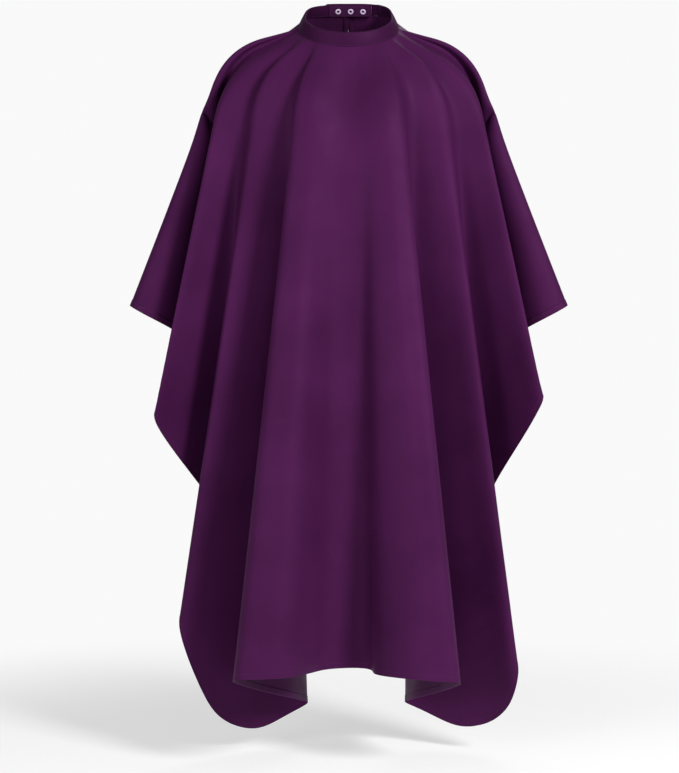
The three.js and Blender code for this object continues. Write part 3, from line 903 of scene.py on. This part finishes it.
# Each section is radii and heights in millimetres, from the axis out and back, or round a hollow.
CAP = [
    (0, 0), (4.6, 0), (5.05, 0.12), (5.2, 0.36), (5.05, 0.66), (4.5, 0.94),
    (3.4, 1.12), (2.2, 1.2), (1.6, 1.19), (1.2, 1.08), (0, 1.05),
]
SOCKET = [
    (2.6, 0), (2.75, -0.05), (3.8, 0), (4.0, 0.2), (4.05, 1.3), (4.5, 1.6),
    (4.6, 1.9), (4.5, 2.4), (2.6, 2.4), (2.45, 1.6), (2.6, 0.8), (2.6, 0),
]
STUD = [
    (0, 0), (4.3, 0), (4.5, 0.15), (4.45, 0.5), (3.6, 0.72), (2.2, 0.8), (1.45, 0.95),
    (1.35, 1.4), (1.45, 1.75), (1.68, 2.1), (1.6, 2.45), (1.2, 2.68), (0.7, 2.7), (0, 2.62),
]
RING = [
    (2.4, 1.0), (2.4, 0.4), (2.6, 0.12), (3.3, 0), (4.2, 0.08),
    (4.85, 0.35), (5.0, 0.7), (4.95, 1.0), (2.4, 1.0),
]
tab_inner_face = TAB_HALF + GAP
for i, x in enumerate(SNAP_X):
    body = TAB_BODIES[i + 1]
    standing = (
        ("cap", CAP, tab_inner_face, body),
        ("socket", SOCKET, -tab_inner_face - 2.4 * MM, body),
        ("stud", STUD, -UNDERLAP_INSET + BAND_HALF + GAP, "cape_body"),
        ("ring", RING, patch_inner - GAP - 1 * MM, "cape_body"),
    )
    for kind, profile, offset, rides_on in standing:
        shape = [(max(r, 0.02) * MM, h * MM) for r, h in profile]
        piece = turned(f"snap_{kind}_fine_{i + 1}", shape, x, offset, RESIN)
        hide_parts(f"snap_{kind}_{i + 1}")
        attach(piece, rides_on)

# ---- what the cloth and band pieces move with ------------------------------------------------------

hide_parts("cape_cloth")
for piece in [cape, band_outer, band_inner, band_rim, band_thread, patch, patch_thread, *cape_pieces]:
    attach(piece, "cape_body")

# ---- floor, light, camera --------------------------------------------------------------------------

BACKDROP = (0.95, 0.95, 0.95, 1)
FLOOR_DROP, FLOOR_HALF, FLOOR_GLOW = 40 * MM, 9, 0.3
SHADOW_FADES_FROM, SHADOW_GONE_AT = 0.5, 1.5
floor_z = CAD_BOX[0].z - FLOOR_DROP
paper = Finish("floor_paper", 0.9, (0.8, 0.8, 0.8), specular=0.05)
paper.shader.inputs["Emission Color"].default_value = (1, 1, 1, 1)
paper.shader.inputs["Emission Strength"].default_value = FLOOR_GLOW
paper.bump(paper.noise(600, 2), 0.03, 0.0005)
glowing = paper.add("ShaderNodeEmission")
glowing.inputs["Color"].default_value = BACKDROP
from_cape = paper.add("ShaderNodeVectorMath", operation="LENGTH")
paper.link(paper.place.outputs["Object"], from_cape.inputs[0])
fade = paper.add("ShaderNodeMapRange", interpolation_type="SMOOTHSTEP")
fade.inputs["From Min"].default_value = SHADOW_FADES_FROM
fade.inputs["From Max"].default_value = SHADOW_GONE_AT
fade.inputs["To Min"].default_value = FLOOR_GLOW
paper.link(from_cape.outputs["Value"], fade.inputs["Value"])
both = paper.add("ShaderNodeMixShader")
paper.link(fade.outputs["Result"], both.inputs[0])
paper.link(paper.shader.outputs[0], both.inputs[1])
paper.link(glowing.outputs[0], both.inputs[2])
paper.link(both.outputs[0], paper.tree.nodes["Material Output"].inputs["Surface"])
floor_corners = [(FLOOR_HALF * x, FLOOR_HALF * y, 0) for x, y in ((-1, -1), (1, -1), (1, 1), (-1, 1))]
floor = new_mesh("floor", floor_corners, [(0, 1, 2, 3)], paper.material)
floor.location.z = floor_z


def area_light(name, place, target, size, power):
    data = bpy.data.lights.new(name, "AREA")
    data.shape = "DISK"
    data.size = size
    data.energy = power
    light = bpy.data.objects.new(name, data)
    light.location = place
    light.rotation_euler = (Vector(target) - Vector(place)).to_track_quat("-Z", "Y").to_euler()
    bpy.context.scene.collection.objects.link(light)


MIDDLE = (0, 0, -0.55)
area_light("key", (2.3, -3.0, 1.2), MIDDLE, 1.2, 185)
area_light("fill", (-2.4, -3.2, 0.0), MIDDLE, 2.0, 60)
area_light("rim", (0.8, 2.6, 1.9), MIDDLE, 1.4, 14)

world = bpy.data.worlds.new("studio")
world.use_nodes = True
sky = world.node_tree
backdrop = sky.nodes["Background"]
backdrop.inputs["Color"].default_value = BACKDROP
glow = sky.nodes.new("ShaderNodeBackground")
glow.inputs["Color"].default_value = (1, 1, 1, 1)
glow.inputs["Strength"].default_value = 0.2
seen = sky.nodes.new("ShaderNodeLightPath")
either = sky.nodes.new("ShaderNodeMixShader")
sky.links.new(seen.outputs["Is Camera Ray"], either.inputs[0])
sky.links.new(glow.outputs[0], either.inputs[1])
sky.links.new(backdrop.outputs[0], either.inputs[2])
sky.links.new(either.outputs[0], sky.nodes["World Output"].inputs["Surface"])
bpy.context.scene.world = world
bpy.context.scene.view_settings.view_transform = "Standard"

camera_data = bpy.data.cameras.new("camera")
camera_data.lens = 117.2
camera_data.sensor_width = 36
camera = bpy.data.objects.new("camera", camera_data)
camera.location = (-0.016, -4.5, -0.393)
to_cape = Vector((-0.016, 0, -0.635)) - camera.location
camera.rotation_euler = to_cape.to_track_quat("-Z", "Y").to_euler()
bpy.context.scene.collection.objects.link(camera)
bpy.context.scene.camera = camera

# ---- hand over -------------------------------------------------------------------------------------

bpy.context.view_layer.update()
